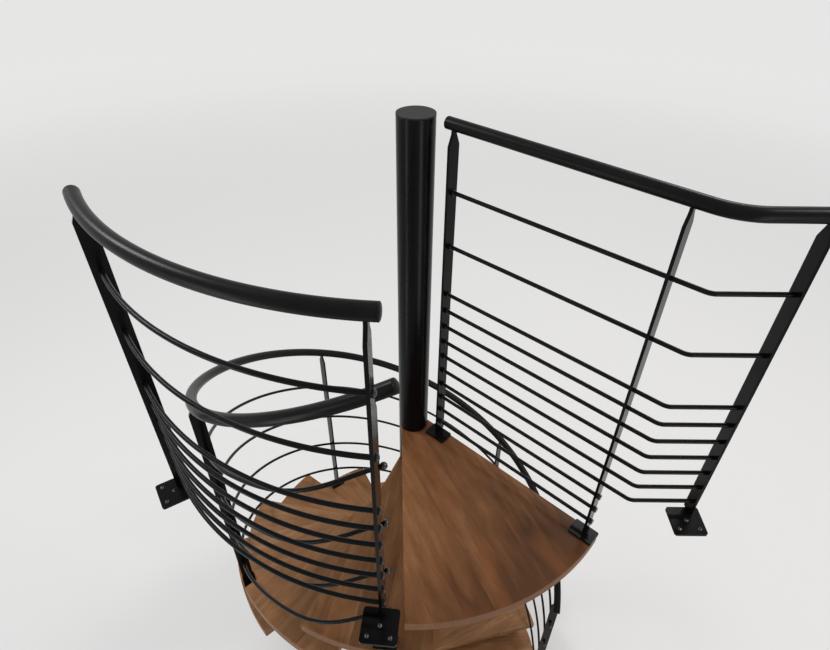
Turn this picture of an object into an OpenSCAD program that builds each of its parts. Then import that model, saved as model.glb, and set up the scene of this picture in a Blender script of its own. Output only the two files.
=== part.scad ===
// Spiral staircase of steel and oak with a helical handrail and two well guards.
// The column axis is the Z axis, the lower floor is at z = 0 and up is +Z.
// Angles run counter-clockwise seen from above; the stair climbs counter-clockwise.

/* [Storey] */
// Height from the lower floor to the upper floor
floor_height = 2570; // [2300:5:2900]
// Turn from one tread to the next, in degrees
tread_turn = 25.8; // [22:0.2:28]
// Direction of the landing tread's front edge, in degrees
landing_front = -88; // [-100:1:-80]
// Angle between the two edges of the landing tread, in degrees
landing_angle = 46; // [36:1:60]

/* [Column] */
// Outside diameter of the black column sleeves
column_dia = 108; // [88.9:0.1:127]
// Wall of the column sleeves
column_wall = 4; // [3:0.5:6]
// Outside diameter of the pole inside the sleeves
pole_dia = 60.3; // [48.3:0.1:76.1]
// Wall of the pole
pole_wall = 4; // [3:0.5:6]
// Height of the column above the upper floor
column_rise = 988; // [900:1:1100]
// Thickness of the disc that closes the column
cap_thick = 5; // [3:0.5:10]
// Depth of the cap's spigot in the column
cap_spigot = 15; // [8:1:30]
// Distance of the pole's top below the column cap
pole_drop = 40; // [20:1:80]
// Diameter of the base flange
flange_dia = 240; // [200:5:320]
// Thickness of the base flange
flange_thick = 12; // [8:1:20]
// Circle of the flange's floor bolts
flange_pitch = 190; // [160:5:270]
// Holes for the floor bolts
flange_hole = 14; // [10:1:18]
// Height of the collar that holds the pole on the flange
socket_height = 30; // [20:1:60]
// Wall of that collar
socket_wall = 7; // [5:0.5:10]

/* [Treads] */
// Radius of the treads' round outer ends
tread_radius = 768; // [700:1:800]
// Thickness of the oak treads
tread_thick = 40; // [30:1:50]
// Distance of each long edge from the line through the axis
tread_edge = 46; // [40:1:50]

/* [Rails and bars] */
// Outside diameter of all three handrails
rail_dia = 33.7; // [30:0.1:42.4]
// Diameter of all round bars
bar_dia = 12; // [8:0.5:16]
// Width of the flat steel posts
post_width = 40; // [30:1:50]
// Thickness of the flat steel posts
post_thick = 8; // [6:0.5:12]
// Width of a post's neck where it meets the handrail
neck_width = 14; // [10:1:24]
// Height of the sloping shoulders below the neck
shoulder = 30; // [20:1:45]
// Length of the neck from the shoulders to the handrail
neck_length = 8; // [4:1:20]
// Diameter of the screw holes in all plates
screw_hole = 7; // [5:0.5:9]

/* [Spiral balustrade] */
// Distance from the treads' round outer ends in to the spiral handrail's centre line
baluster_inset = 32; // [24:1:60]
// Height of the spiral handrail's centre above the front edge line of the treads
spiral_rise = 944; // [850:1:1050]
// Drop from the spiral handrail to the first bar
spiral_first = 228; // [150:1:300]
// Drop from one spiral bar to the next
spiral_pitch = 219; // [150:1:250]
// Direction of the top baluster, in degrees
top_baluster = -96.2; // [-105:0.1:-93]
// Part of a tread's turn by which the other balusters stand behind its middle
baluster_shift = 0.1; // [0:0.01:0.3]
// Angle by which the second baluster stands ahead of that place, in degrees
second_turn = 2.3; // [0:0.1:3]
// Angle from the first tread's front edge back to the lowest baluster, in degrees
low_baluster_turn = 4; // [3:0.1:8]
// Angle by which the spiral handrail runs past its end balusters, in degrees
rail_past = 4; // [2:0.1:5]
// Angle by which the spiral bars run past the end balusters, in degrees
bar_turn_past = 1; // [0.6:0.1:2]
// Outward bow of the spiral bars between the top two balusters
bar_bow = 26; // [0:1:30]
// How far up that bay the bow is widest, where 1 is the middle
bow_skew = 2.2; // [1:0.1:3]
// Diameter of the round caps and collars on the bars
cap_dia = 18; // [16:0.5:24]
// Length of the foot plate under each baluster
foot_length = 75; // [60:1:90]
// Width of the foot plate under each baluster
foot_width = 48; // [44:1:52]
// Thickness of the foot plates
foot_thick = 6; // [4:0.5:10]
// Corner radius of all foot plates
foot_corner = 6; // [3:1:10]
// Distance of the foot plates' screws from the ends of the plate
foot_screw_inset = 14; // [10:1:20]

/* [Left well guard] */
// Distance from the treads' round outer ends out to the curved guard
guard_gap = 62; // [50:1:120]
// Height of the left handrail's centre above the upper floor
left_rise = 959; // [900:1:1100]
// Direction of the near post, in degrees
near_post = -95.1; // [-100:0.1:-92]
// Direction of the far post, in degrees
far_post = -147.3; // [-170:0.1:-120]
// Length by which guard handrails run past their end posts
guard_past = 26; // [20:1:40]
// Length of the end caps of the left handrail
rail_tip = 8; // [6:0.5:14]
// Rise of the domed faces of those end caps
rail_crown = 3.5; // [2:0.5:5.5]
// Length of an end cap's plug inside the handrail
plug_depth = 4; // [2:1:12]
// Step down from the handrail's surface to its end caps
plug_step = 0.2; // [0.1:0.1:0.5]
// Distance from the far plate's well side to the middle of its post
far_inset = 14; // [5:1:20]
// Distance along the guard from the far post to the middle of its plate
far_plate_shift = 11; // [0:1:20]
// Length by which the guards' bars run past the middle of their end posts
bar_past = 6; // [5:0.5:12]
// Wall of the caps that close the guards' bars
end_cap_wall = 6; // [4:0.5:10]
// Rise of the domed faces of the caps that close the guards' bars
cap_crown = 3.5; // [2:0.5:4]

/* [Both well guards] */
// Height of the lowest bar above the upper floor
low_bar = 46; // [35:1:60]
// Spacing of the six lower bars
low_pitch = 65; // [50:1:80]
// Spacing of the upper bars
high_pitch = 173; // [150:1:200]
// Width of the floor plates
plate_width = 94; // [80:1:110]
// Depth of the floor plates
plate_depth = 91; // [80:1:110]
// Thickness of the floor plates
plate_thick = 8; // [6:0.5:12]
// Corner radius of the floor plates
plate_corner = 8; // [4:1:14]
// Distance from a plate's well side to the middle of its post
post_inset = 5; // [2:1:20]
// Distance of the floor plates' outer screws from the edges of the plate
plate_screw_inset = 18; // [14:1:24]

/* [Right well guard] */
// Height of the right handrail's centre above the upper floor
right_rise = 970; // [900:1:1100]
// Distance from the column axis to the first post, along the landing tread
first_post = 100; // [90:1:140]
// Distance from the treads' round outer ends in to the middle post
middle_inset = 40; // [33:1:120]
// Distance of the guard's straight part outside the column axis
guard_line = 38; // [30:1:44]
// Depth of the foot plates on the landing tread
foot_deep = 56; // [44:1:70]
// Length of the foot plates on the landing tread
foot_long = 82; // [60:1:100]
// Distance from the middle of the first post's foot plate back to the post
first_foot_shift = 12; // [0:1:25]
// Length of the collars beside the first post
collar_length = 9; // [6:0.5:14]
// Distance of the end post to the right of the treads' round outer ends
end_post_gap = 48; // [12:1:140]
// Place of the end post in front of the column axis
end_post_y = 520; // [500:1:560]
// Distance from the middle of the end post's plate to the post
end_post_shift = 20; // [0:1:30]
// Radius of the handrail's bend
rail_bend = 150; // [80:5:180]
// Radius of the bars' bends
bar_bend = 35; // [30:5:90]

/* [Fit] */
// Clearance around a bar in its hole and a pole in its bore
fit = 0.4; // [0.2:0.05:0.6]
// Clearance between a post's neck and the handrail it carries
seat = 0.2; // [0.1:0.05:0.5]

/* [Hidden] */
$fn = 64;
small = 0.01;
black = [0.09, 0.09, 0.10];
oak = [0.55, 0.36, 0.22];

// The flight has twelve treads and the landing tread is one riser below the upper floor.
tread_count = 12;
riser = floor_height / (tread_count + 1);
climb = riser / tread_turn;
spiral_radius = tread_radius - baluster_inset;
guard_radius = tread_radius + guard_gap;
middle_post = tread_radius - middle_inset;
end_post_x = tread_radius + end_post_gap;
spiral_slope = atan2(climb * 180 / PI, spiral_radius);
landing_top = tread_count * riser;
landing_rear = landing_front + landing_angle;
rail_radius = rail_dia / 2;
pole_foot = flange_thick;
column_top = floor_height + column_rise - cap_thick;
left_rail_z = floor_height + left_rise;
right_rail_z = floor_height + right_rise;
bar_count = 4;
hole_dia = bar_dia + 2 * fit;

// Upper face of the tread that is the given count below the landing tread.
function tread_top(below) = landing_top - below * riser;
function tread_front(below) = landing_front - below * tread_turn;
function tread_middle(below) = tread_front(below) + tread_turn / 2;

// Height of the spiral handrail's centre line at an angle around the column.
function spiral_z(angle) = landing_top + spiral_rise + climb * (angle - landing_front);
function bar_drop(bar) = spiral_first + (bar - 1) * spiral_pitch;

// The five balusters stand on these treads, counted down from the landing tread.
stands_on = [1, 3, 6, 9, 11];
function usual_angle(below) = tread_middle(below) - baluster_shift * tread_turn;
function baluster_angle(place) = place == 0 ? top_baluster
    : place == 1 ? usual_angle(stands_on[place]) + second_turn
    : place == 4 ? tread_front(stands_on[place]) + low_baluster_turn
    : usual_angle(stands_on[place]);
spiral_top = top_baluster + rail_past;
spiral_end = baluster_angle(4) - rail_past;

// Share of the bars' bow at an angle, nothing at the top two balusters and below them.
function bow_share(angle) =
    let (part = (angle - baluster_angle(1)) / (top_baluster - baluster_angle(1)),
         along = pow(min(1, max(0, part)), bow_skew))
    (1 - cos(360 * along)) / 2;

// Points around a round section that runs along a helix, one ring at a time.
function ring(radius, height, slope, angle, thickness, sides) =
    let (length = sqrt(radius * radius + slope * slope),
         level = radius / length, steep = slope / length)
    [for (s = [0 : sides - 1])
        let (turn = 360 * s / sides, out = thickness * cos(turn), up = thickness * sin(turn))
        [(radius + out) * cos(angle) + up * steep * sin(angle),
         (radius + out) * sin(angle) - up * steep * cos(angle),
         height + up * level]];

// A closed skin over rings of points that all have the same number of sides.
module skin(rings, sides) {
    count = len(rings);
    faces = concat(
        [[for (s = [0 : sides - 1]) s]],
        [for (i = [0 : count - 2]) for (s = [0 : sides - 1])
            [i * sides + s, (i + 1) * sides + s, (i + 1) * sides + (s + 1) % sides,
             i * sides + (s + 1) % sides]],
        [[for (s = [sides - 1 : -1 : 0]) (count - 1) * sides + s]]);
    polyhedron(points = [for (r = rings) each r], faces = faces, convexity = 8);
}

// Steps over a rounded end: how far in from the tip, and how wide the section is there.
dome = [for (i = [0 : 3]) [1 - cos(22.5 * i), max(0.3, sin(22.5 * i))]];

// A round rod along a helix with rounded ends, from angle_a up to angle_b.
module helix_rod(angle_a, angle_b, height_b, rod_radius, sides, steps, roundness, bow) {
    arc = 180 / PI * rod_radius * roundness / spiral_radius;
    stations = concat(
        [for (d = dome) [angle_a + arc * d[0], d[1]]],
        [for (i = [0 : steps]) [angle_a + arc + (angle_b - angle_a - 2 * arc) * i / steps, 1]],
        [for (i = [3 : -1 : 0]) [angle_b - arc * dome[i][0], dome[i][1]]]);
    skin([for (s = stations)
             ring(spiral_radius + bow * bow_share(s[0]), height_b + climb * (s[0] - angle_b),
                  climb * 180 / PI, s[0], rod_radius * s[1], sides)], sides);
}

// A plate outline with round corners, centred on the origin.
module round_plate(length, width, corner) {
    square([length - 2 * corner, width], center = true);
    square([length, width - 2 * corner], center = true);
    for (x = [-1, 1])
        for (y = [-1, 1])
            translate([x * (length / 2 - corner), y * (width / 2 - corner)])
                circle(r = corner, $fn = 32);
}

// A flat upright with sloping shoulders and a neck; it stands on z = 0, wide in X.
module flat_upright(top) {
    shoulder_z = top - rail_radius - neck_length - shoulder;
    rotate([90, 0, 0])
        linear_extrude(post_thick, center = true)
            polygon([[-post_width / 2, 0], [post_width / 2, 0],
                     [post_width / 2, shoulder_z],
                     [neck_width / 2, shoulder_z + shoulder],
                     [neck_width / 2, top], [-neck_width / 2, top],
                     [-neck_width / 2, shoulder_z + shoulder],
                     [-post_width / 2, shoulder_z]]);
}

// One tread outline between two edge directions, with its bore for the pole.
module tread_outline(front, rear) {
    reach = 1.25 * tread_radius;
    front_foot = tread_edge * [cos(front - 90), sin(front - 90)];
    rear_foot = tread_edge * [cos(rear + 90), sin(rear + 90)];
    difference() {
        union() {
            intersection() {
                circle(r = tread_radius, $fn = 180);
                polygon([[0, 0], front_foot,
                         front_foot + reach * [cos(front), sin(front)],
                         rear_foot + reach * [cos(rear), sin(rear)], rear_foot]);
            }
            circle(d = column_dia, $fn = 96);
        }
        circle(d = pole_dia + 2 * fit, $fn = 96);
    }
}

// The tread that is the given count below the landing tread.
module tread(below) {
    color(oak)
        translate([0, 0, tread_top(below) - tread_thick])
            linear_extrude(tread_thick)
                tread_outline(tread_front(below),
                              below == 0 ? landing_rear : tread_front(below - 1));
}

module tube(height, outside, wall) {
    difference() {
        cylinder(h = height, d = outside, $fn = 96);
        translate([0, 0, -1])
            cylinder(h = height + 2, d = outside - 2 * wall, $fn = 96);
    }
}

module base_flange() {
    color(black)
        difference() {
            union() {
                cylinder(h = flange_thick, d = flange_dia, $fn = 128);
                translate([0, 0, flange_thick - small])
                    tube(socket_height, pole_dia + 2 * (fit + socket_wall), socket_wall);
            }
            for (a = [45 : 90 : 315])
                rotate([0, 0, a])
                    translate([flange_pitch / 2, 0, -1])
                        cylinder(h = flange_thick + 2, d = flange_hole, $fn = 32);
        }
}

module centre_pole() {
    color(black)
        translate([0, 0, pole_foot])
            tube(column_top - pole_drop - pole_foot, pole_dia, pole_wall);
}

// One sleeve below each tread keeps the treads a riser apart.
module column_sleeves() {
    color(black)
        for (below = [0 : tread_count - 1]) {
            foot = below == tread_count - 1 ? flange_thick : tread_top(below + 1);
            translate([0, 0, foot])
                tube(tread_top(below) - tread_thick - foot, column_dia, column_wall);
        }
}

module upper_column() {
    color(black)
        translate([0, 0, landing_top])
            tube(column_top - landing_top, column_dia, column_wall);
}

module column_cap() {
    color(black)
        translate([0, 0, column_top]) {
            cylinder(h = cap_thick, d = column_dia, $fn = 96);
            translate([0, 0, -cap_spigot])
                cylinder(h = cap_spigot + small, d = column_dia - 2 * column_wall - 2 * fit, $fn = 96);
        }
}

module tread_01() { tread(11); }
module tread_02() { tread(10); }
module tread_03() { tread(9); }
module tread_04() { tread(8); }
module tread_05() { tread(7); }
module tread_06() { tread(6); }
module tread_07() { tread(5); }
module tread_08() { tread(4); }
module tread_09() { tread(3); }
module tread_10() { tread(2); }
module tread_11() { tread(1); }
module landing_tread() { tread(0); }

module spiral_handrail() {
    color(black)
        helix_rod(spiral_end, spiral_top, spiral_z(spiral_top), rail_radius, 20, 70, 0.5, 0);
}

module spiral_bar(bar) {
    top = top_baluster + bar_turn_past;
    color(black)
        helix_rod(baluster_angle(4) - bar_turn_past, top, spiral_z(top) - bar_drop(bar),
                  bar_dia / 2, 10, 60, 0.3, bar_bow);
}

module spiral_bar_1() { spiral_bar(1); }
module spiral_bar_2() { spiral_bar(2); }
module spiral_bar_3() { spiral_bar(3); }
module spiral_bar_4() { spiral_bar(4); }

// A straight rod along the slope of the spiral, centred on the spiral's radius at X.
module slope_rod(height, diameter, length) {
    translate([spiral_radius, 0, height])
        rotate([spiral_slope - 90, 0, 0])
            cylinder(h = length, d = diameter, center = true, $fn = 48);
}

// A baluster on its foot plate, drilled for the four bars and notched for the handrail.
module spiral_baluster(place) {
    angle = baluster_angle(place);
    foot = tread_top(stands_on[place]);
    color(black)
        rotate([0, 0, angle])
            difference() {
                union() {
                    translate([spiral_radius, 0, foot])
                        flat_upright(spiral_z(angle) - foot);
                    translate([spiral_radius, 0, foot])
                        linear_extrude(foot_thick)
                            round_plate(foot_width, foot_length, foot_corner);
                }
                for (bar = [1 : bar_count])
                    slope_rod(spiral_z(angle) - bar_drop(bar), hole_dia, 4 * post_thick);
                slope_rod(spiral_z(angle), rail_dia + 2 * seat, 6 * post_thick);
                for (side = [-1, 1])
                    translate([spiral_radius, side * (foot_length / 2 - foot_screw_inset), foot - 1])
                        cylinder(h = foot_thick + 2, d = screw_hole, $fn = 32);
            }
}

module spiral_baluster_1() { spiral_baluster(0); }
module spiral_baluster_2() { spiral_baluster(1); }
module spiral_baluster_3() { spiral_baluster(2); }
module spiral_baluster_4() { spiral_baluster(3); }
module spiral_baluster_5() { spiral_baluster(4); }

// Round caps that close both ends of each spiral bar.
module spiral_bar_caps() {
    color(black)
        for (bar = [1 : bar_count]) {
            for (end = [[top_baluster, 1], [baluster_angle(4), -1]]) {
                angle = end[0] + end[1] * bar_turn_past;
                rotate([0, 0, angle])
                    translate([spiral_radius, 0, spiral_z(angle) - bar_drop(bar)])
                        rotate([spiral_slope - 90, 0, 0])
                            scale([1, 1, end[1]])
                                difference() {
                                    translate([0, 0, cap_dia / 4])
                                        sphere(d = cap_dia, $fn = 48);
                                    translate([0, 0, -cap_dia])
                                        cylinder(h = cap_dia + seat, d = hole_dia, $fn = 48);
                                }
            }
        }
}

// Pieces around the curved well guard are turned to their direction with X pointing out.
module guard_arc(height, thickness, from, to) {
    color(black)
        translate([0, 0, height])
            rotate([0, 0, from])
                rotate_extrude(angle = to - from, $fn = 180)
                    translate([guard_radius, 0])
                        circle(d = thickness, $fn = 32);
}

function arc_turn(length) = 180 / PI * length / guard_radius;

// A round end whose face is a dome of the given rise, standing on z = 0.
module domed_end(length, diameter, rise) {
    bulge = (rise * rise + diameter * diameter / 4) / (2 * rise);
    intersection() {
        cylinder(h = length, d = diameter, $fn = 64);
        translate([0, 0, length - bulge])
            sphere(r = bulge, $fn = 64);
    }
}

module left_guard_handrail() {
    past = arc_turn(guard_past - rail_tip);
    guard_arc(left_rail_z, rail_dia, far_post - past, near_post + past);
    color(black)
        for (end = [[near_post + past, -90], [far_post - past, 90]])
            rotate([0, 0, end[0]])
                translate([guard_radius, 0, left_rail_z])
                    rotate([end[1], 0, 0])
                        translate([0, 0, -plug_depth])
                            domed_end(plug_depth + rail_tip, rail_dia - 2 * plug_step, rail_crown);
}

// Heights of the guard bars above the upper floor, six close ones and three wide ones.
function low_z(bar) = floor_height + low_bar + bar * low_pitch;
function bar_z(bar) = bar < 6 ? low_z(bar) : low_z(6) + (bar - 6) * high_pitch;

module floor_plate(shift, inset) {
    translate([plate_depth / 2 - inset, shift, 0])
        linear_extrude(plate_thick)
            difference() {
                round_plate(plate_depth, plate_width, plate_corner);
                circle(d = screw_hole, $fn = 32);
                for (side = [-1, 1])
                    translate([plate_depth / 2 - plate_screw_inset,
                               side * (plate_width / 2 - plate_screw_inset)])
                        circle(d = screw_hole, $fn = 32);
            }
}

// A guard post on its floor plate, drilled for its bars; X points away from the well.
module floor_post(rise, shift, inset) {
    difference() {
        union() {
            flat_upright(rise);
            floor_plate(shift, inset);
        }
        for (bar = [0 : 8])
            translate([0, 0, bar_z(bar) - floor_height])
                rotate([90, 0, 0])
                    cylinder(h = 4 * post_thick, d = hole_dia, center = true, $fn = 48);
        translate([0, 0, rise])
            rotate([90, 0, 0])
                cylinder(h = 4 * post_thick, d = rail_dia + 2 * seat, center = true, $fn = 64);
    }
}

module left_guard_post(angle, shift, inset) {
    color(black)
        rotate([0, 0, angle])
            translate([guard_radius, 0, floor_height])
                floor_post(left_rise, shift, inset);
}

module left_guard_near_post() { left_guard_post(near_post, 0, post_inset); }
module left_guard_far_post() { left_guard_post(far_post, far_plate_shift, far_inset); }

module left_guard_bar(height) {
    guard_arc(height, bar_dia, far_post - arc_turn(bar_past), near_post + arc_turn(bar_past));
}

module left_guard_upper_bars() {
    for (bar = [6 : 8])
        left_guard_bar(bar_z(bar));
}

module left_guard_lower_bars() {
    for (bar = [0 : 5])
        left_guard_bar(bar_z(bar));
}

// A cap over the end of a bar that comes out of a post's face at z = 0.
module end_cap() {
    bore = bar_past - post_thick / 2 + seat;
    difference() {
        domed_end(bore + end_cap_wall, cap_dia, cap_crown);
        translate([0, 0, -1])
            cylinder(h = bore + 1, d = hole_dia, $fn = 48);
    }
}

module left_guard_bar_caps() {
    color(black)
        for (end = [[near_post, 1], [far_post, -1]])
            for (bar = [0 : 8])
                rotate([0, 0, end[0]])
                    translate([guard_radius, end[1] * post_thick / 2, bar_z(bar)])
                        rotate([-90 * end[1], 0, 0])
                            end_cap();
}

// The right guard runs straight along the landing tread, then bends towards the end post.
line_dir = landing_rear;
function on_line(distance) = distance * [cos(line_dir), sin(line_dir)]
    + guard_line * [cos(line_dir + 90), sin(line_dir + 90)];
corner_at = (end_post_y + guard_line * sin(line_dir + 90)) / -sin(line_dir);
corner = on_line(corner_at);

module straight_rod(height, diameter, start, length, direction) {
    translate([start[0], start[1], height])
        rotate([0, 90, direction])
            cylinder(h = length, d = diameter, $fn = 32);
}

// Points around a level rod that heads in a direction.
function level_ring(place, height, direction, thickness, sides) =
    [for (s = [0 : sides - 1])
        let (turn = 360 * s / sides, out = thickness * cos(turn))
        [place[0] + out * sin(direction), place[1] - out * cos(direction),
         height + thickness * sin(turn)]];

// A rod from a place on the line, around the bend and on to a place beyond the end post.
module bent_rod(height, diameter, from, to_x, bend, sides, steps, roundness) {
    tangent = bend * tan(-line_dir / 2);
    middle = [corner[0] + tangent, corner[1] + bend];
    tip = roundness * diameter / 2;
    stations = concat(
        [for (d = dome) [on_line(from + tip * d[0]), line_dir, d[1]]],
        [[on_line(from + tip), line_dir, 1]],
        [for (i = [0 : steps])
            let (direction = line_dir * (1 - i / steps))
            [middle + bend * [sin(direction), -cos(direction)], direction, 1]],
        [[[to_x - tip, corner[1]], 0, 1]],
        [for (i = [3 : -1 : 0]) [[to_x - tip * dome[i][0], corner[1]], 0, dome[i][1]]]);
    color(black)
        skin([for (s = stations)
                 level_ring(s[0], height, s[1], s[2] * diameter / 2, sides)], sides);
}

module right_guard_handrail() {
    bent_rod(right_rail_z, rail_dia, first_post - guard_past,
             end_post_x + guard_past, rail_bend, 24, 12, 0.5);
}

// A guard post on the landing tread, set across the line with its foot plate inwards.
module line_post(place, plate_shift) {
    foot = on_line(place);
    rise = right_rail_z - landing_top;
    color(black)
        translate([foot[0], foot[1], landing_top])
            rotate([0, 0, line_dir - 90])
                difference() {
                    union() {
                        flat_upright(rise);
                        translate([guard_line - tread_edge + foot_deep / 2, plate_shift, 0])
                            linear_extrude(plate_thick)
                                round_plate(foot_deep, foot_long, foot_corner);
                    }
                    for (bar = [-3 : 8])
                        translate([0, 0, bar_z(bar) - landing_top])
                            rotate([90, 0, 0])
                                cylinder(h = 4 * post_thick, d = hole_dia, center = true,
                                         $fn = 48);
                    translate([0, 0, rise])
                        rotate([90, 0, 0])
                            cylinder(h = 4 * post_thick, d = rail_dia + 2 * seat,
                                     center = true, $fn = 64);
                }
}
module right_guard_column_post() { line_post(first_post, first_foot_shift); }
module right_guard_middle_post() { line_post(middle_post, 0); }

module right_guard_end_post() {
    color(black)
        translate([end_post_x, -end_post_y, floor_height])
            rotate([0, 0, -90])
                floor_post(right_rise, -end_post_shift, post_inset);
}

module right_guard_bar(height) {
    bent_rod(height, bar_dia, first_post - bar_past, end_post_x + bar_past, bar_bend,
             12, 6, 0.3);
}

module right_guard_upper_bars() {
    for (bar = [6 : 8])
        right_guard_bar(bar_z(bar));
}

module right_guard_lower_bars() {
    for (bar = [0 : 5])
        right_guard_bar(bar_z(bar));
}

// Three short bars close the space between the landing tread and the upper floor.
module right_guard_foot_bars() {
    color(black)
        for (bar = [-3 : -1])
            straight_rod(low_z(bar), bar_dia, on_line(first_post - bar_past),
                         middle_post - first_post + 2 * bar_past, line_dir);
}

// Collars grip the bars beside the column post; caps close the bars at their other ends.
module bar_collars() {
    color(black)
        for (bar = [-3 : 8]) {
            collar(bar_z(bar), first_post, collar_length + 2);
            if (bar < 0)
                collar(bar_z(bar), middle_post, bar_past - post_thick / 2 + 1 + seat);
            else
                translate([end_post_x + post_thick / 2, -end_post_y, bar_z(bar)])
                    rotate([0, 90, 0])
                        end_cap();
        }
}

// A collar beside a post, bored to a depth that leaves it open or closes it as a cap.
module collar(height, post, bore) {
    face = post + post_thick / 2;
    difference() {
        straight_rod(height, cap_dia, on_line(face), collar_length, line_dir);
        straight_rod(height, hole_dia, on_line(face - 1), bore, line_dir);
    }
}

base_flange();
centre_pole();
column_sleeves();
upper_column();
column_cap();
tread_01();
tread_02();
tread_03();
tread_04();
tread_05();
tread_06();
tread_07();
tread_08();
tread_09();
tread_10();
tread_11();
landing_tread();
spiral_handrail();
spiral_bar_1();
spiral_bar_2();
spiral_bar_3();
spiral_bar_4();
spiral_baluster_1();
spiral_baluster_2();
spiral_baluster_3();
spiral_baluster_4();
spiral_baluster_5();
spiral_bar_caps();
left_guard_handrail();
left_guard_near_post();
left_guard_far_post();
left_guard_upper_bars();
left_guard_lower_bars();
left_guard_bar_caps();
right_guard_handrail();
right_guard_column_post();
right_guard_middle_post();
right_guard_end_post();
right_guard_upper_bars();
right_guard_lower_bars();
right_guard_foot_bars();
bar_collars();
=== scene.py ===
"""Spiral staircase: oak treads on a black steel column, with its helical balustrade and well guards."""

import math

import bmesh
import bpy
from mathutils import Matrix, Vector


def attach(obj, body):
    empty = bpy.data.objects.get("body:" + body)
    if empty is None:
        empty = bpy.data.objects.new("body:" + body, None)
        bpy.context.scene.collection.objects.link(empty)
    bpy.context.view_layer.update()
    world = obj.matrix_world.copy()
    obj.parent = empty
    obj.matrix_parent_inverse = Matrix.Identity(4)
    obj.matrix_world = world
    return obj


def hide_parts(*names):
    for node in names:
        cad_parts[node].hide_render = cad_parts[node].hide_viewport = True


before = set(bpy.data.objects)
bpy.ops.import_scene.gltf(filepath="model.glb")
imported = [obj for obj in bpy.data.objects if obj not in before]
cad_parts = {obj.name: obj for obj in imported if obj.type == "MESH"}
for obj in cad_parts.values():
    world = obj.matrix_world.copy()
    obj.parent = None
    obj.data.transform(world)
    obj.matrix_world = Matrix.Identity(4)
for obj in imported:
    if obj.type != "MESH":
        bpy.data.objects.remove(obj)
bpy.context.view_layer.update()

# Sizes of the stair, in metres and degrees.
FLOOR = 2.570
RISER = FLOOR / 13
TREAD_TURN, TREAD_RADIUS = 25.8, 0.768
LANDING_FRONT, LANDING_REAR = -88, -42
LANDING_TOP = 12 * RISER
CLIMB = RISER / TREAD_TURN
RAIL, BAR = 0.01685, 0.006

# Spiral balustrade. Treads are counted down from the landing. The second baluster stands a little
# further on than the pattern, as in the photograph, and the first and the last are where the rail ends.
SPIRAL_RADIUS = 0.736
SPIRAL_RISE = 0.944
SPIRAL_DROPS = (0.228, 0.447, 0.666, 0.885)
STANDS_ON = (1, 3, 6, 9, 11)
STANDS_AT = 0.40
BALUSTERS = [LANDING_FRONT + (STANDS_AT - below) * TREAD_TURN for below in STANDS_ON]
BALUSTERS[0] = -96.2
BALUSTERS[1] += 2.3
BALUSTERS[4] = LANDING_FRONT - 11 * TREAD_TURN + 4
TOP_BALUSTER, LOW_BALUSTER = BALUSTERS[0], BALUSTERS[4]
RAIL_PAST_TURN, BAR_PAST_TURN = 3.38, 0.85
BAR_BOW, BOW_SKEW = 0.026, 2.2

# Well guards.
GUARD_RADIUS = 0.830
NEAR_POST, FAR_POST = -95.1, -147.3
LEFT_RAIL_Z, RIGHT_RAIL_Z = FLOOR + 0.959, FLOOR + 0.970
LOW_PITCH, HIGH_PITCH = 0.065, 0.173
LOW_BARS, HIGH_BARS = FLOOR + 0.046, FLOOR + 0.436
FOOT_BARS = LOW_BARS - 3 * LOW_PITCH
FIRST_POST, MIDDLE_POST = 0.100, 0.728
END_POST = Vector((0.816, -0.520, 0))
RAIL_PAST, BAR_PAST = 0.026, 0.006
RAIL_BEND, BAR_BEND = 0.150, 0.035
LINE = Vector((math.cos(math.radians(LANDING_REAR)), math.sin(math.radians(LANDING_REAR)), 0))
LINE_SIDE = Vector((-LINE.y, LINE.x, 0)) * 0.038

# How far the rods' ends reach, their flats around and their steps along.
PLUG, BAR_DOME, SPIRAL_DOME = 0.008, 0.001, 0.0018
RAIL_SIDES, SPIRAL_RAIL_SIDES, BAR_SIDES = 48, 40, 20
SPIRAL_RAIL_STEPS, SPIRAL_BAR_STEPS, GUARD_STEPS, BEND_STEPS = 150, 120, 48, 16

# Thickness of the plates, and where their screws and anchors stand.
PLATE, FOOT, FLANGE = 0.008, 0.006, 0.012
PLATE_SCREWS = ((0, 0), (0.0275, 0.029), (0.0275, -0.029))
FOOT_SCREW = 0.0235
ANCHOR_RADIUS = 0.095

# Points nearer than this are one; angles in degrees for flat faces, eased edges and smooth shading.
WELD = 0.00002
FLAT_WITHIN, EASED_ABOVE, SMOOTH_BELOW = 0.6, 32, 38


def around(radius, angle, height):
    """A place at a radius and an angle around the column."""
    turn = math.radians(angle)
    return Vector((radius * math.cos(turn), radius * math.sin(turn), height))


def heading(angle, radius=1, slope=0):
    """The way that a rod runs around the column at an angle."""
    turn = math.radians(angle)
    return Vector((-math.sin(turn) * radius, math.cos(turn) * radius, slope))


def spiral_height(angle):
    """Height of the spiral handrail's middle at an angle."""
    return LANDING_TOP + SPIRAL_RISE + CLIMB * (angle - LANDING_FRONT)


def on_line(distance, height):
    """A place on the right guard's straight part."""
    place = LINE * distance + LINE_SIDE
    place.z = height
    return place


# Bench tools.
def hold(piece):
    """Selects one piece alone and makes it the one worked on."""
    bpy.ops.object.select_all(action="DESELECT")
    piece.select_set(True)
    bpy.context.view_layer.objects.active = piece


def added(operator, name, **settings):
    """Adds a primitive, names it and puts its place into its mesh."""
    bpy.ops.object.select_all(action="DESELECT")
    operator(**settings)
    piece = bpy.context.object
    piece.name = piece.data.name = name
    bpy.ops.object.transform_apply(location=True, rotation=True, scale=True)
    return piece


def open_all(piece):
    """Opens a piece for shaping with all of it selected."""
    hold(piece)
    bpy.ops.object.mode_set(mode="EDIT")
    bpy.ops.mesh.select_mode(type="VERT")
    bpy.ops.mesh.select_all(action="SELECT")


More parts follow.
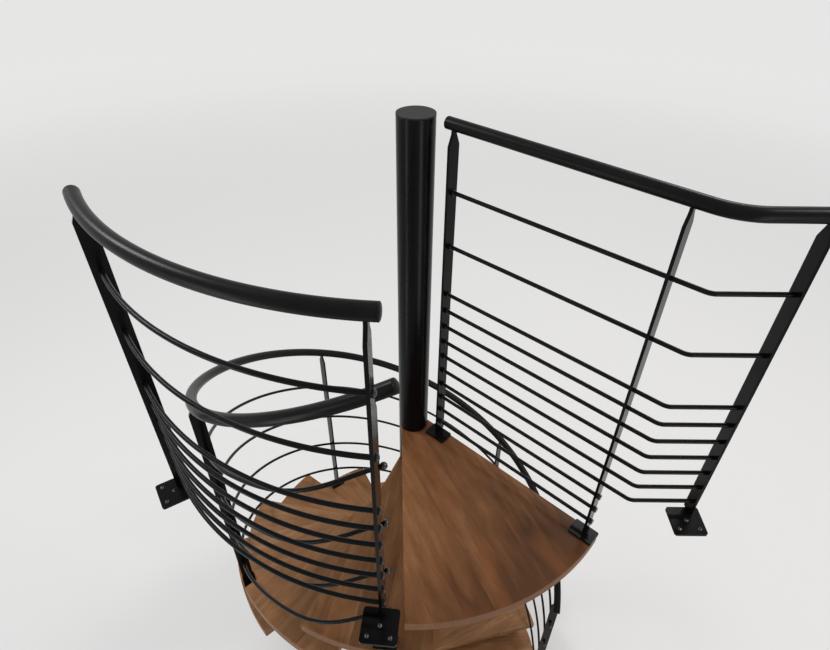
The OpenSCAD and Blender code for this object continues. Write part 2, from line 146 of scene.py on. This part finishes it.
def choose(piece, test):
    """Opens a piece for shaping with the points selected that pass a test."""
    open_all(piece)
    bpy.ops.mesh.select_all(action="DESELECT")
    shape = bmesh.from_edit_mesh(piece.data)
    for point in shape.verts:
        point.select_set(test(point))
    shape.select_flush_mode()
    bmesh.update_edit_mesh(piece.data)


def close():
    """Ends the shaping of the piece that is open."""
    bpy.ops.object.mode_set(mode="OBJECT")


def modify(piece, kind, **settings):
    """Adds a modifier with its settings and applies it."""
    hold(piece)
    modifier = piece.modifiers.new(kind.lower(), kind)
    for key, value in settings.items():
        setattr(modifier, key, value)
    bpy.ops.object.modifier_apply(modifier=modifier.name)


def copy_of(piece, name, move=(0, 0, 0)):
    """A copy with its own mesh, moved within that mesh."""
    mesh = piece.data.copy()
    twin = bpy.data.objects.new(name, mesh)
    mesh.name = name
    bpy.context.scene.collection.objects.link(twin)
    open_all(twin)
    bpy.ops.transform.translate(value=tuple(move))
    close()
    return twin


def repeat(piece, moves):
    """Repeats all that is in a piece by moves that follow one another."""
    open_all(piece)
    for move in moves:
        bpy.ops.mesh.duplicate_move(TRANSFORM_OT_translate={"value": tuple(move)})
    close()


def join(pieces):
    """Makes several pieces one."""
    hold(pieces[0])
    for piece in pieces[1:]:
        piece.select_set(True)
    bpy.ops.object.join()
    return pieces[0]


# Rods: a ring is drawn where the rod starts and swept along its way.
def rod_ring(name, radius, sides, place, way):
    """The open ring of a rod's section, square to the way that the rod runs."""
    turn = Vector(way).to_track_quat("Z", "Y").to_euler()
    return added(bpy.ops.mesh.primitive_circle_add, name, vertices=sides, radius=radius,
                 location=place, rotation=turn)


def push(way, length):
    """Extrudes what is selected a length along a way."""
    step = Vector(way).normalized() * length
    bpy.ops.mesh.extrude_region_move(TRANSFORM_OT_translate={"value": tuple(step)})


def close_end(piece, place, way, radius, profile):
    """Closes a rod's open end over a profile: how far out, and how wide as a share of the rod."""
    place, way = Vector(place), Vector(way).normalized()
    choose(piece, lambda point: (point.co - place).length < radius * 1.03)
    done, width = 0, 1
    for out, narrow in profile:
        push(way, out - done)
        if narrow:
            bpy.ops.transform.resize(value=(narrow / width,) * 3,
                                     center_override=tuple(place + way * out))
        else:
            bpy.ops.mesh.merge(type="CENTER")
        done, width = out, narrow
    close()


def dome(reach):
    """The profile of a bar's rounded end."""
    turns = [math.radians(turn) for turn in (18, 36, 54, 72)]
    return [(reach * math.sin(turn), math.cos(turn)) for turn in turns] + [(reach, 0)]


def plug():
    """The profile of a handrail's plug: the fine joint, the rim with its eased edge, the low crown."""
    edge, crown = 0.0018, 0.0030
    rim = PLUG - crown
    profile = [(0.0002, 0.980), (0.0006, 0.980), (0.0008, 1.0), (rim - edge, 1.0)]
    for turn in (25, 50, 70):
        angle = math.radians(turn)
        profile.append((rim - edge * (1 - math.sin(angle)), 1 - edge * (1 - math.cos(angle)) / RAIL))
    for width in (0.80, 0.55, 0.28):
        profile.append((PLUG - crown * width * width * 0.93, width))
    return profile + [(PLUG, 0)]


def true_skin(piece):
    """Merges the points that lie together in a piece and turns all its faces outwards."""
    open_all(piece)
    bpy.ops.mesh.remove_doubles(threshold=WELD)
    bpy.ops.mesh.normals_make_consistent(inside=False)
    close()


def closed(rod, start, end, ways, radius, profile):
    """Closes a rod's two ends, each square to its way, and trues its skin."""
    close_end(rod, start, -ways[0], radius, profile)
    close_end(rod, end, ways[1], radius, profile)
    true_skin(rod)
    return rod


def helix_rod(name, low, high, drop, radius, sides, steps, profile):
    """A rod that climbs around the column from one angle to another, closed at both ends."""
    start = around(SPIRAL_RADIUS, low, spiral_height(low) - drop)
    end = around(SPIRAL_RADIUS, high, spiral_height(high) - drop)
    ways = [heading(angle, SPIRAL_RADIUS, math.degrees(CLIMB)) for angle in (low, high)]
    rod = rod_ring(name, radius, sides, start, ways[0])
    modify(rod, "SCREW", axis="Z", angle=math.radians(high - low), steps=steps,
           render_steps=steps, screw_offset=CLIMB * (high - low), use_smooth_shade=True)
    return closed(rod, start, end, ways, radius, profile)


def bow_out(bar, low, high, steps):
    """Bows a spiral bar outwards between the top two balusters, ring by ring."""
    step = (high - low) / steps
    for count in range(steps):
        angle = low + step * count
        part = (angle - BALUSTERS[1]) / (TOP_BALUSTER - BALUSTERS[1])
        if 0 < part < 1:
            out = BAR_BOW * (1 - math.cos(2 * math.pi * part ** BOW_SKEW)) / 2
            choose(bar, lambda point: abs(
                math.degrees(math.atan2(point.co.y, point.co.x)) - angle) < step / 2)
            bpy.ops.transform.translate(value=tuple(around(out, angle, 0)))
            close()


def guard_rod(name, low, high, height, radius, sides, profile):
    """A level rod around the well, closed at both ends."""
    start, end = around(GUARD_RADIUS, low, height), around(GUARD_RADIUS, high, height)
    ways = [heading(angle) for angle in (low, high)]
    rod = rod_ring(name, radius, sides, start, ways[0])
    open_all(rod)
    bpy.ops.mesh.spin(steps=GUARD_STEPS, angle=-math.radians(high - low), center=(0, 0, height),
                      axis=(0, 0, 1))
    close()
    return closed(rod, start, end, ways, radius, profile)


def bent_rod(name, start_at, end_x, height, bend, radius, sides, profile):
    """A rod of the right guard: straight along the landing, around its bend, on to the end post."""
    corner_at = (-END_POST.y + LINE_SIDE.y) / -LINE.y
    corner = on_line(corner_at, height)
    tangent = bend * math.tan(math.radians(-LANDING_REAR / 2))
    start = on_line(start_at, height)
    rod = rod_ring(name, radius, sides, start, LINE)
    open_all(rod)
    push(LINE, corner_at - tangent - start_at)
    middle = (corner.x + tangent, corner.y + bend, height)
    bpy.ops.mesh.spin(steps=BEND_STEPS, angle=math.radians(LANDING_REAR), center=middle, axis=(0, 0, 1))
    push((1, 0, 0), end_x - corner.x - tangent)
    close()
    return closed(rod, start, (end_x, corner.y, height), (LINE, (1, 0, 0)), radius, profile)


def straight_rod(name, start_at, end_at, height, radius, sides, profile):
    """A short bar between the two posts on the landing tread."""
    start, end = on_line(start_at, height), on_line(end_at, height)
    rod = rod_ring(name, radius, sides, start, LINE)
    open_all(rod)
    push(LINE, end_at - start_at)
    close()
    return closed(rod, start, end, (LINE, LINE), radius, profile)


# Finishes.
class Socket:
    """A socket of a material, on which sums are written as plain arithmetic."""

    def __init__(self, finish, link):
        self.finish, self.link = finish, link

    def __add__(self, other): return self.finish.reckon("ADD", self, other)
    def __radd__(self, other): return self.finish.reckon("ADD", other, self)
    def __sub__(self, other): return self.finish.reckon("SUBTRACT", self, other)
    def __mul__(self, other): return self.finish.reckon("MULTIPLY", self, other)
    def __rmul__(self, other): return self.finish.reckon("MULTIPLY", other, self)
    def __truediv__(self, other): return self.finish.reckon("DIVIDE", self, other)


class Finish:
    """A material in the making."""

    def __init__(self, name, **constants):
        self.material = bpy.data.materials.new(name)
        self.material.use_nodes = True
        self.tree = self.material.node_tree
        self.shader = self.tree.nodes["Principled BSDF"]
        for socket, value in constants.items():
            self.shader.inputs[socket.replace("_", " ")].default_value = value
        self.place = self.node("ShaderNodeTexCoord", out="Object")

    def node(self, kind, settings=None, sockets=None, out=0):
        """Adds a node: its settings first, then the values or links of its sockets."""
        made = self.tree.nodes.new(kind)
        for key, value in (settings or {}).items():
            if key == "stops":
                while len(made.color_ramp.elements) < len(value):
                    made.color_ramp.elements.new(0.5)
                for stop, (position, colour) in zip(made.color_ramp.elements, value):
                    stop.position, stop.color = position, (*colour, 1)
            else:
                setattr(made, key, value)
        for key, value in (sockets or {}).items():
            self.feed(made.inputs[key], value)
        return Socket(self, made.outputs[out])

    def feed(self, socket, value):
        """Links a value to a socket, or sets it there."""
        if isinstance(value, Socket):
            self.tree.links.new(value.link, socket)
        elif isinstance(value, tuple) and len(value) == 3 and socket.type == "RGBA":
            socket.default_value = (*value, 1)
        else:
            socket.default_value = value

    def reckon(self, operation, one, two=0.0):
        """A sum of one or two numbers."""
        return self.node("ShaderNodeMath", {"operation": operation}, {0: one, 1: two})

    def vector(self, operation, one, two=(0, 0, 0), out=0):
        """A sum of one or two vectors."""
        return self.node("ShaderNodeVectorMath", {"operation": operation}, {0: one, 1: two}, out)

    def combined(self, *parts):
        """A vector from its three parts."""
        return self.node("ShaderNodeCombineXYZ", None, dict(enumerate(parts)))

    def between(self, value, low, high, start=0.0, end=1.0):
        """Runs from start to end while a value runs from low to high."""
        return self.node("ShaderNodeMapRange", None, {"Value": value, "From Min": low, "From Max": high,
                         "To Min": start, "To Max": end}, "Result")

    def noise(self, place, scale, detail=2.0, roughness=0.5):
        """Soft noise about a place."""
        return self.node("ShaderNodeTexNoise", None, {"Vector": place, "Scale": scale,
                         "Detail": detail, "Roughness": roughness}, "Fac")

    def mapping(self, place, turn=(0, 0, 0), scale=(1, 1, 1), move=(0, 0, 0)):
        """A place turned, scaled and moved."""
        return self.node("ShaderNodeMapping", None, {"Vector": place, "Rotation": turn,
                         "Scale": scale, "Location": move})

    def ramp(self, value, *stops):
        """A colour read off a ramp."""
        return self.node("ShaderNodeValToRGB", {"stops": stops}, {"Fac": value}, "Color")

    def mix(self, share, one, two):
        """One colour with a share of another."""
        return self.node("ShaderNodeMix", {"data_type": "RGBA"}, {0: share, 6: one, 7: two}, 2)

    def bump(self, height, distance, strength):
        """Fine relief from a height."""
        return self.node("ShaderNodeBump", None, {"Height": height, "Distance": distance,
                         "Strength": strength})

    def looked_at(self):
        """1 for what the camera sees, straight, mirrored or through glass, and 0 for the light itself."""
        straight, mirrored, through = [self.node("ShaderNodeLightPath", out=ray) for ray in
                                       ("Is Camera Ray", "Is Glossy Ray", "Is Transmission Ray")]
        return self.reckon("MAXIMUM", self.reckon("MAXIMUM", straight, mirrored), through)

    def shows(self, **sockets):
        """Feeds the shader's sockets and hands over what was made."""
        for socket, value in sockets.items():
            self.feed(self.shader.inputs[socket.replace("_", " ")], value)
        return self.material


class Sky(Finish):
    """The world, written like a finish."""

    def __init__(self, name):
        self.material = bpy.data.worlds.new(name)
        self.material.use_nodes = True
        self.tree = self.material.node_tree
        self.shader = self.tree.nodes["Background"]


def powder_coat(name, dark, light, gloss, orange_peel, mirror=0.09):
    """Black powder coat: fine orange peel, slightly cloudy in colour and gloss."""
    finish = Finish(name, Specular_IOR_Level=mirror)
    cloud = finish.noise(finish.place, 5.0, 4.0)
    streak = finish.noise(finish.place, 38.0, 3.0)
    peel = finish.noise(finish.place, 620.0, 2.0)
    colour = finish.ramp(cloud * 0.6 + streak * 0.4, (0.35, dark), (0.65, light))
    rough = gloss + 0.10 * cloud + 0.06 * streak
    return finish.shows(Base_Color=colour, Roughness=rough,
                        Normal=finish.bump(peel, orange_peel, 0.5))


def bright_steel(name, colour, gloss):
    """Zinc-plated steel of the anchors."""
    finish = Finish(name, Metallic=1.0)
    spangle = finish.noise(finish.place, 180.0, 3.0)
    dark = tuple(part * 0.75 for part in colour)
    return finish.shows(Base_Color=finish.ramp(spangle, (0.3, dark), (0.7, colour)),
                        Roughness=gloss + 0.2 * spangle,
                        Normal=finish.bump(spangle, 0.0001, 0.4))


# Oak: dark, middle and light grain, a warm flush, the joints, the pores and the end grain; the width
# of a stave, of a joint from its middle outwards, and of the eased rim; how far a seed shifts the figure.
GRAIN_DARK, GRAIN, GRAIN_LIGHT = (0.062, 0.023, 0.0065), (0.140, 0.057, 0.0205), (0.245, 0.114, 0.048)
FLUSH, JOINT = (0.165, 0.056, 0.017), (0.045, 0.018, 0.007)
PORE, END_GRAIN = (0.040, 0.016, 0.006), (0.300, 0.125, 0.043)
STAVE, JOINT_HALF, RIM = 0.090, (0.0002, 0.0010), 0.0025
ALONG_SEED = 1.7


def oak_boards(name, angle, height, seed, joint_at, painted_lighting_tint, painted_shade_across=0.0, painted_shade_outwards=0.0):
    """Oiled oak: staves glued side by side along the tread, each with its own tone and figure.

    Painted shade darkens it across the tread and towards its outer end."""
    finish = Finish(name, Specular_IOR_Level=0.14)
    turned = finish.mapping(finish.place, turn=(0, 0, math.radians(-angle)),
                            move=(seed * ALONG_SEED, -joint_at, -height))
    across = finish.node("ShaderNodeSeparateXYZ", None, {"Vector": turned}, "Y")
    along = finish.node("ShaderNodeSeparateXYZ", None, {"Vector": turned}, "X") - seed * ALONG_SEED
    stave = finish.reckon("FLOOR", across / STAVE)
    tone = finish.node("ShaderNodeTexWhiteNoise", {"noise_dimensions": "1D"},
                       {"W": stave + seed * 7.3}, "Value")
    own = finish.vector("ADD", turned, finish.combined(tone * 3.1, seed * 0.53, tone * 0.9))
    waver = finish.noise(finish.mapping(own, scale=(1.4, 4.0, 4.0)), 1.0)
    figure = finish.vector("ADD", own, finish.combined(0.0, waver * 0.07, waver * 0.05))
    broad = finish.noise(finish.mapping(figure, scale=(1.8, 15.0, 15.0)), 1.0)
    bands = finish.noise(finish.mapping(figure, scale=(3.4, 52.0, 52.0)), 1.0)
    streaks = finish.noise(finish.mapping(figure, scale=(9.0, 210.0, 210.0)), 1.0, 2.0, 0.6)
    pores = finish.noise(finish.mapping(own, scale=(34.0, 900.0, 900.0)), 1.0, 1.0)
    pore = finish.between(pores, 0.62, 0.72)
    mottle = finish.noise(finish.mapping(own, scale=(9.0, 26.0, 26.0)), 1.0)
    # Painted shade: the wood grows darker across the tread and beyond 0.46 m out along it.
    painted_shade_outside = finish.reckon("MAXIMUM", along - 0.46, 0.0)
    grain = (0.36 * broad + 0.22 * bands + 0.17 * streaks + 0.10 * tone + 0.34 * mottle - 0.095
             - painted_shade_across * (across - 0.25) - painted_shade_outwards * painted_shade_outside)
    # The oak's shades are scaled by a painted lighting tint: darker where shade is painted, lighter where
    # light is painted.
    dark, middle, light, warm = [tuple(part * share for part, share in zip(shade, painted_lighting_tint))
                                 for shade in (GRAIN_DARK, GRAIN, GRAIN_LIGHT, FLUSH)]
    plain = finish.ramp(grain, (0.25, dark), (0.50, middle), (0.75, light))
    flush = finish.noise(finish.mapping(own, scale=(5.0, 14.0, 14.0)), 1.0, 1.0, 0.4)
    wood = finish.mix(0.45 * finish.between(flush, 0.50, 0.72), plain, warm)
    joint = finish.between(finish.reckon("PINGPONG", across, STAVE / 2), *JOINT_HALF, 0.35, 0.0)
    glued = finish.mix(joint, wood, JOINT)
    pored = finish.mix(0.45 * pore, glued, PORE)
    reach = finish.vector("LENGTH", finish.vector("MULTIPLY", finish.place, (1, 1, 0)), out="Value")
    rim = finish.between(reach, TREAD_RADIUS - RIM, TREAD_RADIUS)
    return finish.shows(Base_Color=finish.mix(0.45 * rim, pored, END_GRAIN),
                        Roughness=0.36 + 0.12 * streaks + 0.10 * pore + 0.06 * broad,
                        Normal=finish.bump(0.5 * streaks - 0.6 * pore, 0.00030, 0.45))


column_coat = powder_coat("column_coat", (0.0026, 0.0023, 0.0026), (0.0052, 0.0046, 0.0050),
                          0.16, 0.0001)
# Matt coat of the column cap; its colour, lighter than the column's, is painted sheen of light from
# above.
cap_coat_painted_sheen = powder_coat("cap_matt_coat", (0.012, 0.0108, 0.0102), (0.021, 0.019, 0.018),
                       0.42, 0.00015, 0.12)
# Handrail coat: its warm tint is painted reflection of the wood around it.
rail_coat_painted_reflection = powder_coat("handrail_coat", (0.0040, 0.0035, 0.0034), (0.0084, 0.0074, 0.0070),
                        0.24, 0.0001)
bar_coat = powder_coat("bar_coat", (0.0028, 0.0025, 0.0028), (0.0056, 0.0050, 0.0054),
                       0.20, 0.0001)
post_coat = powder_coat("post_coat", (0.0026, 0.0021, 0.0022), (0.0052, 0.0043, 0.0045),
                        0.10, 0.0001, 0.08)
cap_gloss = powder_coat("bar_cap_gloss", (0.0026, 0.0024, 0.0026), (0.0052, 0.0048, 0.0050),
                        0.05, 0.00003, 0.50)
screw_black = powder_coat("black_screws", (0.004, 0.004, 0.004), (0.009, 0.009, 0.009),
                          0.04, 0.00003, 0.70)
anchor_zinc = bright_steel("anchor_zinc", (0.62, 0.62, 0.60), 0.22)


def fit(piece, finish, slot, *nodes):
    """Gives a piece its finish and smooth shading, sets it on the root body, and hides the nodes it
    stands for.
    """
    hold(piece)
    bpy.ops.object.shade_smooth_by_angle(angle=math.radians(SMOOTH_BELOW))
    piece.data.materials.clear()
    piece.data.materials.append(finish)
    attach(piece, "root")
    if nodes:
        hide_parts(*nodes)
    return piece


def dressed(node, name, edge, steps=2):
    """A copy of a node as one clean skin, its sharp edges eased as the real ones are."""
    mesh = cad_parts[node].data.copy()
    mesh.name = name
    piece = bpy.data.objects.new(name, mesh)
    bpy.context.scene.collection.objects.link(piece)
    open_all(piece)
    bpy.ops.mesh.remove_doubles(threshold=WELD)
    bpy.ops.mesh.dissolve_limited(angle_limit=math.radians(FLAT_WITHIN), delimit={"NORMAL"})
    close()
    modify(piece, "BEVEL", width=edge, segments=steps, limit_method="ANGLE",
           angle_limit=math.radians(EASED_ABOVE), use_clamp_overlap=True, miter_outer="MITER_ARC")
    return piece


def weight(piece):
    """Keeps broad faces flat to the eye beside their eased edges."""
    modify(piece, "WEIGHTED_NORMAL", keep_sharp=True, weight=60)


# Column.
for node, finish, edge in (("column_sleeves", column_coat, 0.0006),
                           ("upper_column", column_coat, 0.0006),
                           ("column_cap", cap_coat_painted_sheen, 0.0012),
                           ("base_flange", column_coat, 0.0015)):
    weight(fit(dressed(node, node + "_coated", edge), finish, "column_steel", node))
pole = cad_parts["centre_pole"]
pole.data.materials.clear()
pole.data.materials.append(column_coat)

# Treads, each with its boards laid along its own middle. All are one oak: the two uppermost are darkened
# as painted shade and the lower ones lightened as painted light.
PAINTED_SHADE_TINTS = {0: (1.05, 1.04, 1.03), 1: (1.10, 1.18, 1.25)}
PAINTED_LIGHT_TINT = (1.50, 1.76, 2.10)
# Painted shade on the landing tread alone: how strongly it darkens across the tread and towards its outer
# end.
LANDING_PAINTED_SHADE = (0.50, 0.90)
FIRST_JOINT, JOINT_STEP, SEED_STEP = -0.265, 0.037, 0.37
for count in range(12):
    below = 11 - count
    name = "landing_tread" if below == 0 else "tread_%02d" % (count + 1)
    front = LANDING_FRONT - below * TREAD_TURN
    rear = LANDING_REAR if below == 0 else front + TREAD_TURN
    # Only the landing tread carries the painted shade.
    painted_shade_falls = LANDING_PAINTED_SHADE if below == 0 else ()
    boards = oak_boards(name + "_oak", (front + rear) / 2, (12 - below) * RISER, 1 + SEED_STEP * below,
                        FIRST_JOINT + JOINT_STEP * below, PAINTED_SHADE_TINTS.get(below, PAINTED_LIGHT_TINT), *painted_shade_falls)
    weight(fit(dressed(name, name + "_boards", 0.003, 3), boards, "oak", name))

# Spiral handrail and its four bars.
rail = helix_rod("spiral_handrail_tube", LOW_BALUSTER - RAIL_PAST_TURN, TOP_BALUSTER + RAIL_PAST_TURN,
                 0, RAIL, SPIRAL_RAIL_SIDES, SPIRAL_RAIL_STEPS, plug())
fit(rail, rail_coat_painted_reflection, "rail_steel", "spiral_handrail")
bar_low, bar_high = LOW_BALUSTER - BAR_PAST_TURN, TOP_BALUSTER + BAR_PAST_TURN
first_bar = helix_rod("spiral_bar_1_rod", bar_low, bar_high, SPIRAL_DROPS[0],
                      BAR, BAR_SIDES, SPIRAL_BAR_STEPS, dome(SPIRAL_DOME))
bow_out(first_bar, bar_low, bar_high, SPIRAL_BAR_STEPS)
for number, drop in enumerate(SPIRAL_DROPS, 1):
    bar = first_bar if number == 1 else copy_of(first_bar, "spiral_bar_%d_rod" % number,
                                                (0, 0, SPIRAL_DROPS[0] - drop))
    fit(bar, bar_coat, "rail_steel", "spiral_bar_%d" % number)


def guard_bars(side, lowest):
    """Makes a guard's six lower and three upper bars from the lowest one."""
    upper = copy_of(lowest, side + "_guard_upper_rods", (0, 0, HIGH_BARS - LOW_BARS))
    repeat(lowest, [(0, 0, LOW_PITCH)] * 5)
    repeat(upper, [(0, 0, HIGH_PITCH)] * 2)
    fit(lowest, bar_coat, "rail_steel", side + "_guard_lower_bars")
    fit(upper, bar_coat, "rail_steel", side + "_guard_upper_bars")


# Curved guard around the well.
past = math.degrees((RAIL_PAST - PLUG) / GUARD_RADIUS)
left_rail = guard_rod("left_guard_handrail_tube", FAR_POST - past, NEAR_POST + past,
                      LEFT_RAIL_Z, RAIL, RAIL_SIDES, plug())
fit(left_rail, rail_coat_painted_reflection, "rail_steel", "left_guard_handrail")
past = math.degrees((BAR_PAST - BAR_DOME) / GUARD_RADIUS)
guard_bars("left", guard_rod("left_guard_lower_rods", FAR_POST - past, NEAR_POST + past,
                             LOW_BARS, BAR, BAR_SIDES, dome(BAR_DOME)))

# Bent guard beside the landing.
right_rail = bent_rod("right_guard_handrail_tube", FIRST_POST - RAIL_PAST + PLUG,
                      END_POST.x + RAIL_PAST - PLUG, RIGHT_RAIL_Z, RAIL_BEND, RAIL, RAIL_SIDES, plug())
fit(right_rail, rail_coat_painted_reflection, "rail_steel", "right_guard_handrail")
guard_bars("right", bent_rod("right_guard_lower_rods", FIRST_POST - BAR_PAST + BAR_DOME,
                             END_POST.x + BAR_PAST - BAR_DOME, LOW_BARS, BAR_BEND, BAR, BAR_SIDES,
                             dome(BAR_DOME)))
foot_rod = straight_rod("right_guard_foot_rods", FIRST_POST - BAR_PAST + BAR_DOME,
                        MIDDLE_POST + BAR_PAST - BAR_DOME, FOOT_BARS, BAR, BAR_SIDES, dome(BAR_DOME))
repeat(foot_rod, [(0, 0, LOW_PITCH)] * 2)
fit(foot_rod, bar_coat, "rail_steel", "right_guard_foot_bars")

# Posts, balusters, caps and collars.
for node in sorted(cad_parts):
    if node.endswith("_post") or node.startswith("spiral_baluster"):
        weight(fit(dressed(node, node + "_flat", 0.0008), post_coat, "rail_steel", node))
for node in ("spiral_bar_caps", "left_guard_bar_caps", "bar_collars"):
    weight(fit(dressed(node, node + "_turned", 0.0006), cap_gloss, "rail_steel", node))


# Round-headed screws in the floor plates and baluster feet.
def screw_head(name):
    """A low dome with a six-sided socket sunk into it."""
    head = added(bpy.ops.mesh.primitive_uv_sphere_add, name, segments=20, ring_count=12, radius=0.0065)
    open_all(head)
    bpy.ops.mesh.bisect(plane_co=(0, 0, 0), plane_no=(0, 0, 1), use_fill=True, clear_inner=True)
    bpy.ops.mesh.select_all(action="SELECT")
    bpy.ops.transform.resize(value=(1, 1, 0.62), center_override=(0, 0, 0))
    close()
    socket = added(bpy.ops.mesh.primitive_cylinder_add, "socket_cutter", vertices=6, radius=0.0024,
                   depth=0.004, location=(0, 0, 0.0039))
    modify(head, "BOOLEAN", operation="DIFFERENCE", object=socket, solver="EXACT")
    bpy.data.objects.remove(socket)
    true_skin(head)
    return head


def turned_place(angle, out, side, height):
    """A place out from the column and to the side of a line at an angle."""
    return Matrix.Rotation(math.radians(angle), 3, "Z") @ Vector((out, side, 0)) + Vector((0, 0, height))


# How far the first screw of a plate stands out from the guard's line, and how far to the side.
LEFT_PLATES = ((NEAR_POST, 0.0405, 0), (FAR_POST, 0.0315, 0.011))
RIGHT_PLATE = (0.0405, -0.020)
screw_places = []
for angle, first_out, shift in LEFT_PLATES:
    for out, side in PLATE_SCREWS:
        spot = turned_place(angle, GUARD_RADIUS + first_out + out, side + shift, FLOOR + PLATE)
        screw_places.append(("left_plate", spot))
for out, side in PLATE_SCREWS:
    screw_places.append(("right_plate", Vector((END_POST.x + RIGHT_PLATE[1] + side,
                                                END_POST.y - RIGHT_PLATE[0] - out, FLOOR + PLATE))))
for below, angle in zip(STANDS_ON, BALUSTERS):
    for side in (-FOOT_SCREW, FOOT_SCREW):
        spot = turned_place(angle, SPIRAL_RADIUS, side, LANDING_TOP - below * RISER + FOOT)
        screw_places.append(("foot", spot))
head = screw_head("screw_pattern")
for number, (kind, spot) in enumerate(screw_places, 1):
    fit(copy_of(head, "%s_screw_%02d" % (kind, number), spot), screw_black, "rail_steel")
bpy.data.objects.remove(head)


# Anchors of the base flange.
def anchor(name):
    """A washer, a chamfered nut and the end of the stud."""
    washer = added(bpy.ops.mesh.primitive_cylinder_add, "washer", vertices=36, radius=0.012,
                   depth=0.0025, location=(0, 0, 0.00125))
    modify(washer, "BEVEL", width=0.0004, segments=2)
    nut = added(bpy.ops.mesh.primitive_cylinder_add, "nut", vertices=6, radius=0.01097,
                depth=0.010, location=(0, 0, 0.0075))
    chamfer = added(bpy.ops.mesh.primitive_uv_sphere_add, "nut_chamfer", segments=48, ring_count=24,
                    radius=0.0150, location=(0, 0, 0.0020))
    modify(nut, "BOOLEAN", operation="INTERSECT", object=chamfer, solver="EXACT")
    bpy.data.objects.remove(chamfer)
    true_skin(nut)
    stud = added(bpy.ops.mesh.primitive_cylinder_add, "stud", vertices=28, radius=0.006,
                 depth=0.010, location=(0, 0, 0.0165))
    modify(stud, "BEVEL", width=0.0010, segments=1)
    whole = join([washer, nut, stud])
    whole.name = whole.data.name = name
    return whole


pattern = anchor("anchor_pattern")
for number in range(4):
    spot = around(ANCHOR_RADIUS, 45 + 90 * number, FLANGE)
    fit(copy_of(pattern, "base_anchor_%d" % (number + 1), spot), anchor_zinc, "column_steel")
bpy.data.objects.remove(pattern)

# Camera at the photograph's viewpoint, its focal length and width in the photograph's pixels.
PITCH, ROLL = math.radians(38.363), math.radians(0.554)
FOCAL_LENGTH, PHOTO_WIDTH, SENSOR = 584.8, 830, 36
camera = bpy.data.objects.new("view_camera", bpy.data.cameras.new("view_camera"))
bpy.context.scene.collection.objects.link(camera)
camera.location = (0.0027, -1.5438, 4.070)
turn = Matrix.Rotation(math.pi / 2 - PITCH, 4, "X") @ Matrix.Rotation(ROLL, 4, "Z")
camera.rotation_euler = turn.to_euler()
camera.data.sensor_width = SENSOR
camera.data.lens = FOCAL_LENGTH / PHOTO_WIDTH * SENSOR
bpy.context.scene.camera = camera

# Pale floor, soft lamps and an even sky.
FLOOR_SIZE, FLOOR_FADE = 160, 20.0
LAMPS_AIM = Vector((0, -0.2, 2.6))
floor = added(bpy.ops.mesh.primitive_plane_add, "floor", size=FLOOR_SIZE, location=(0, 0, -0.002))
paper = Finish("floor_paper", Roughness=0.9, Specular_IOR_Level=0.1, Emission_Strength=1.0)
reach = paper.vector("LENGTH", paper.place, out="Value") / FLOOR_FADE
cloud = paper.noise(paper.place, 0.6)
glow = paper.ramp(reach, (0.10, (0, 0, 0)), (0.65, (0.20, 0.20, 0.199)))
floor.data.materials.append(paper.shows(
    Base_Color=paper.ramp(reach + 0.02 * cloud, (0.10, (0.78, 0.775, 0.77)),
                          (0.80, (0.95, 0.945, 0.94))),
    Emission_Color=paper.mix(paper.looked_at(), (0, 0, 0), glow)))


def soft_lamp(name, place, size, power, warmth, tall=0):
    """A broad area lamp that looks at the middle of the upper flight.

    A tall one stands upright and shows only as a soft band in the gloss of the steel."""
    data = bpy.data.lights.new(name, "AREA")
    data.shape, data.size, data.energy, data.color = "DISK", size, power, warmth
    aim = LAMPS_AIM
    if tall:
        data.shape, data.size_y = "RECTANGLE", tall
        aim = Vector((0, 0, place[2]))
    lamp = bpy.data.objects.new(name, data)
    lamp.visible_diffuse = not tall
    bpy.context.scene.collection.objects.link(lamp)
    lamp.location = place
    lamp.rotation_euler = (aim - Vector(place)).to_track_quat("-Z", "Y").to_euler()


soft_lamp("lamp_right", (3.4, -0.6, 6.4), 1.2, 90, (1.0, 0.97, 0.93))
soft_lamp("lamp_left", (-3.6, 0.8, 6.0), 1.4, 110, (0.97, 0.985, 1.0))
soft_lamp("lamp_back", (2.6, 3.4, 7.0), 1.6, 80, (1.0, 1.0, 1.0))
soft_lamp("strip_left", (-2.83, -2.06, 1.85), 0.7, 32, (1.0, 1.0, 1.0), 3.6)
soft_lamp("strip_right", (1.86, -2.98, 1.85), 0.7, 32, (1.0, 1.0, 1.0), 3.6)

sky = Sky("studio")
bpy.context.scene.world = sky.shows(Color=(1, 1, 1), Strength=0.62 + 0.17 * sky.looked_at())
bpy.context.scene.view_settings.view_transform = "Standard"
